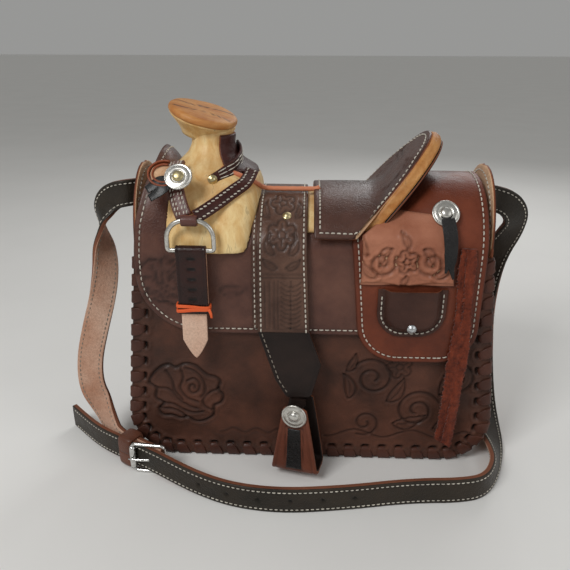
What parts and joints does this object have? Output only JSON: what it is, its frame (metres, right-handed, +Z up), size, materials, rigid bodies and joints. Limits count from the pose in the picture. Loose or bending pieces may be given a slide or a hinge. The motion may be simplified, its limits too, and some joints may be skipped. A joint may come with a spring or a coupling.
{
  "type": "western saddle bag",
  "caption": "Miniature western saddle built as the hinged flap of a laced, tooled leather bag, with horn, seat, stirrups, pocket, rigging ring and a buckled shoulder strap.",
  "frame": {"origin": "middle of the bag's footprint, on the surface it stands on", "axes": "+X along the bag from the horn end to the cantle end, +Y from the front to the back, +Z up"},
  "size_m": [0.3753, 0.1943, 0.2741],
  "materials": {
    "bag_leather": "tooled, satin",
    "skirt_leather": "dark chocolate, glossy",
    "rear_leather": "chestnut, glossy",
    "wood": "oiled, satin",
    "strap_leather": "worn, satin",
    "rigging_leather": "stitched, satin",
    "black_leather": "glossy",
    "lace": "flat lace, satin",
    "suede": "suede, matte",
    "orange_lace": "satin",
    "nickel": "polished",
    "brass": "polished",
    "steel": "satin"
  },
  "bodies": {
    "bag": {"front_panel": "bag_leather", "back_panel": "bag_leather", "bottom_gusset": "bag_leather", "left_gusset": "bag_leather", "right_gusset": "bag_leather", "front_lacing": "lace", "back_lacing": "lace", "snap_socket": "nickel", "hinge_welt": "bag_leather", "back_skirt": "bag_leather", "back_fender_tab": "rear_leather", "anchor_rivets": "brass", "long_strap": "strap_leather", "short_strap": "strap_leather", "buckle_frame": "nickel", "strap_keeper": "strap_leather"},
    "flap": {"front_skirt": "skirt_leather", "snap_stud": "nickel", "rear_skirt": "rear_leather", "fork": "wood", "horn_cap": "wood", "horn_wrap": "rigging_leather", "tree_bars": "wood", "cantle_board": "wood", "cantle_facing": "rear_leather", "seat": "rear_leather", "piping": "lace", "front_rigging_strap": "rigging_leather", "rear_rigging_strap": "rigging_leather", "rigging_loop": "rigging_leather", "front_concho": "nickel", "front_ribbon": "black_leather", "front_rosette": "lace", "pocket_yoke": "rear_leather", "rear_concho": "nickel", "pocket_pouch": "rear_leather", "pocket_rivet": "brass", "fender_top": "rear_leather", "fender_rivet": "brass"},
    "pocket_flap": {"pocket_flap": "rear_leather", "rear_ribbon": "black_leather"},
    "d_ring": {"d_ring": "nickel"},
    "latigo": {"latigo_strap": "strap_leather", "latigo_billet": "strap_leather", "latigo_keeper": "orange_lace"},
    "strings": {"saddle_strings": "suede"},
    "fender": {"fender_strap": "rear_leather", "fender_panel": "rear_leather", "stirrup_hanger": "rear_leather"},
    "stirrup": {"stirrup": "rear_leather", "stirrup_bolt": "steel", "stirrup_concho": "nickel", "stirrup_inlay": "black_leather"},
    "back_fender": {"back_fender_strap": "rear_leather", "back_fender_panel": "rear_leather", "back_stirrup_hanger": "rear_leather"},
    "back_stirrup": {"back_stirrup": "rear_leather", "back_stirrup_bolt": "steel", "back_stirrup_concho": "nickel"},
    "prong": {"buckle_prong": "nickel"}
  },
  "joints": [
    {"name": "flap_hinge", "type": "hinge", "parent": "bag", "child": "flap", "pos_m": [0, 0.0521, 0.172], "axis": [-1, 0, 0], "range_deg": [0, 100]},
    {"name": "pocket_flap_hinge", "type": "hinge", "parent": "flap", "child": "pocket_flap", "pos_m": [0.066, -0.0555, 0.19], "axis": [-1, 0, 0], "range_deg": [0, 50]},
    {"name": "ring_swing", "type": "hinge", "parent": "flap", "child": "d_ring", "pos_m": [-0.083, -0.06188, 0.2005], "axis": [-1, 0, 0], "range_deg": [0, 45]},
    {"name": "latigo_swing", "type": "hinge", "parent": "d_ring", "child": "latigo", "pos_m": [-0.083, -0.06188, 0.1795], "axis": [-1, 0, 0], "range_deg": [0, 45]},
    {"name": "strings_swing", "type": "hinge", "parent": "flap", "child": "strings", "pos_m": [0.1085, -0.0561, 0.181], "axis": [-1, 0, 0], "range_deg": [0, 45]},
    {"name": "fender_fold", "type": "hinge", "parent": "flap", "child": "fender", "pos_m": [-0.02, -0.0567, 0.182], "axis": [-1, 0, 0], "range_deg": [0, 60], "deforming": ["long_strap"]},
    {"name": "stirrup_swing", "type": "hinge", "parent": "fender", "child": "stirrup", "pos_m": [-0.008, -0.0664, 0.059], "axis": [0.2419, 0.9703, 0], "range_deg": [-25, 4]},
    {"name": "back_fender_fold", "type": "hinge", "parent": "bag", "child": "back_fender", "pos_m": [-0.02, 0.0567, 0.163], "axis": [1, 0, 0], "range_deg": [0, 60]},
    {"name": "back_stirrup_swing", "type": "hinge", "parent": "back_fender", "child": "back_stirrup", "pos_m": [-0.008, 0.0664, 0.059], "axis": [0.2419, 0.9703, 0], "range_deg": [-4, 25]},
    {"name": "prong_swing", "type": "hinge", "parent": "bag", "child": "prong", "pos_m": [-0.11015, -0.07316, 0.0137], "axis": [0, 0, 1], "range_deg": [0, 70]}
  ]
}
